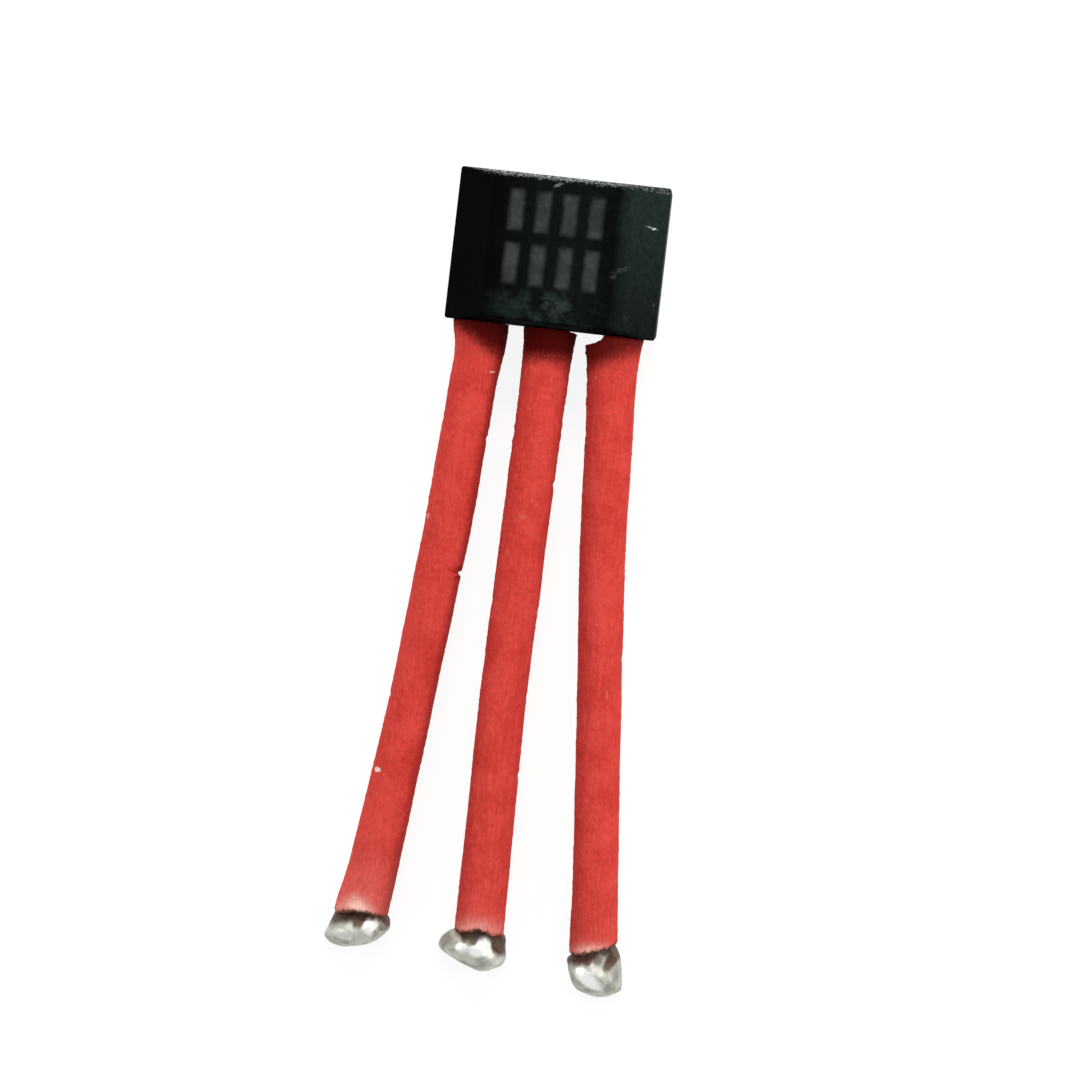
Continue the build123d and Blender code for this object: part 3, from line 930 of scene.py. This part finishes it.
dress("moulded_body", compound_material())
dress("face_marking", marking_material())
tinned = metal_material(
    "tinned_copper_drawn", light=(0.80, 0.79, 0.76), dark=(0.62, 0.61, 0.58),
    rough_low=0.25, rough_high=0.42, stretch=(6, 0.5, 6),
)
gold = metal_material(
    "bond_gold_drawn", light=(0.95, 0.66, 0.28), dark=(0.80, 0.52, 0.20),
    rough_low=0.18, rough_high=0.30, scale=30.0,
)
for side in SIDES:
    dress(f"lead_{side}", tinned)
    dress(f"bond_wire_{side}", gold)
dress("sensor_die", stone_material(
    "silicon_grey", light=(0.12, 0.13, 0.16), dark=(0.07, 0.08, 0.10), roughness=0.25,
))
dress("die_attach", stone_material(
    "silver_epoxy", light=(0.42, 0.42, 0.40), dark=(0.28, 0.28, 0.27), roughness=0.55,
))

solder = solder_material()
for side in SIDES:
    build_sleeve(side, sleeve_material(side))
    build_solder(side, solder)


# ---------------------------------------------------------------- floor, light and camera

def white_to_camera(tree, surface, white, share):
    """Mixes a plain white, for what the camera, reflections and glass see directly, into a lit
    surface. Other light meets the surface alone."""
    nodes, links = tree.nodes, tree.links
    rays = nodes.new("ShaderNodeLightPath")
    seen = nodes.new("ShaderNodeMath")
    seen.operation = "MAXIMUM"
    links.new(rays.outputs["Is Camera Ray"], seen.inputs[0])
    links.new(rays.outputs["Is Glossy Ray"], seen.inputs[1])
    also = nodes.new("ShaderNodeMath")
    also.operation = "MAXIMUM"
    links.new(seen.outputs[0], also.inputs[0])
    links.new(rays.outputs["Is Transmission Ray"], also.inputs[1])
    amount = nodes.new("ShaderNodeMath")
    amount.operation = "MULTIPLY"
    amount.inputs[1].default_value = share
    links.new(also.outputs[0], amount.inputs[0])
    mixed = nodes.new("ShaderNodeMixShader")
    links.new(amount.outputs[0], mixed.inputs[0])
    links.new(surface, mixed.inputs[1])
    links.new(white, mixed.inputs[2])
    return mixed.outputs[0]


def make_floor():
    """A plain white floor just below the object, on which its shadow still shows a little."""
    half = 120 * MM
    drop = 0.004 * MM
    white_level = 1.12
    white_share = 0.80
    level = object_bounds()[0].z - drop
    corners = [(-half, -half, level), (half, -half, level), (half, half, level), (-half, half, level)]
    mesh = bpy.data.meshes.new("floor")
    mesh.from_pydata(corners, [], [(0, 1, 2, 3)])
    floor = bpy.data.objects.new("floor", mesh)
    bpy.context.scene.collection.objects.link(floor)
    material = bpy.data.materials.new("floor_white")
    material.use_nodes = True
    tree = material.node_tree
    surface = tree.nodes["Principled BSDF"]
    surface.inputs["Base Color"].default_value = (0.82, 0.82, 0.81, 1.0)
    surface.inputs["Roughness"].default_value = 0.9
    surface.inputs["Specular IOR Level"].default_value = 0.0
    white = tree.nodes.new("ShaderNodeEmission")
    white.inputs["Strength"].default_value = white_level
    result = white_to_camera(tree, surface.outputs[0], white.outputs[0], white_share)
    tree.links.new(result, tree.nodes["Material Output"].inputs["Surface"])
    mesh.materials.append(material)


def make_world(fill):
    """An even fill of light from all round, plain white where it is seen directly."""
    world = bpy.data.worlds.new("studio")
    bpy.context.scene.world = world
    world.use_nodes = True
    tree = world.node_tree
    lit = tree.nodes["Background"]
    lit.inputs["Color"].default_value = (1.0, 1.0, 1.0, 1.0)
    lit.inputs["Strength"].default_value = fill
    white = tree.nodes.new("ShaderNodeBackground")
    white.inputs["Strength"].default_value = 1.0
    result = white_to_camera(tree, lit.outputs[0], white.outputs[0], 1.0)
    tree.links.new(result, tree.nodes["World Output"].inputs["Surface"])


def make_lamp(name, aim, azimuth, elevation, distance, size, level):
    """A soft lamp. Azimuth 0 is beyond the package and 90 is to its right, in degrees. Level is
    the brightness that the lamp alone gives a white floor, 1 being white."""
    lamp = bpy.data.lights.new(name, "AREA")
    lamp.shape = "RECTANGLE"
    lamp.size, lamp.size_y = size[0] * MM, size[1] * MM
    a, e = math.radians(azimuth), math.radians(elevation)
    away = Vector((math.sin(a) * math.cos(e), math.cos(a) * math.cos(e), math.sin(e)))
    lamp.energy = level * math.pi ** 2 * (distance * MM) ** 2 / math.sin(e)
    holder = bpy.data.objects.new(name, lamp)
    holder.location = aim + away * distance * MM
    holder.rotation_mode = "QUATERNION"
    holder.rotation_quaternion = away.to_track_quat("Z", "Y")
    holder.visible_camera = False
    bpy.context.scene.collection.objects.link(holder)


def make_camera(aim):
    """Looks down on the marked face, a little from its right, turned as the photo is."""
    side, top, roll = (math.radians(angle) for angle in (8.0, 0.5, 6.6))
    frame_width = 20.73
    lens = 250.0
    back = Vector((math.sin(side) * math.cos(top), math.sin(top), math.cos(side) * math.cos(top)))
    up = (Vector((0, 1, 0)) - back * back.y).normalized()
    right = up.cross(back)
    turned_up = up * math.cos(roll) - right * math.sin(roll)
    turned_right = right * math.cos(roll) + up * math.sin(roll)
    data = bpy.data.cameras.new("camera")
    data.lens = lens
    distance = frame_width * MM * lens / data.sensor_width
    data.clip_start = distance * 0.2
    data.clip_end = distance * 20
    camera = bpy.data.objects.new("camera", data)
    turn = Matrix((turned_right, turned_up, back)).transposed()
    camera.matrix_world = Matrix.Translation(aim + back * distance) @ turn.to_4x4()
    bpy.context.scene.collection.objects.link(camera)
    bpy.context.scene.camera = camera


middle = (cad_bounds[0] + cad_bounds[1]) / 2
make_floor()
make_world(0.27)
make_lamp("key_above", middle, azimuth=0, elevation=38, distance=120, size=(102, 24), level=0.50)
make_lamp("fill_right", middle, azimuth=76, elevation=27, distance=135, size=(78, 78), level=0.23)
make_lamp("fill_left", middle, azimuth=-76, elevation=32, distance=135, size=(78, 78), level=0.15)
make_camera(middle + Vector((0.35, 0.77, 0.0)) * MM)

bpy.context.scene.view_settings.view_transform = "Standard"
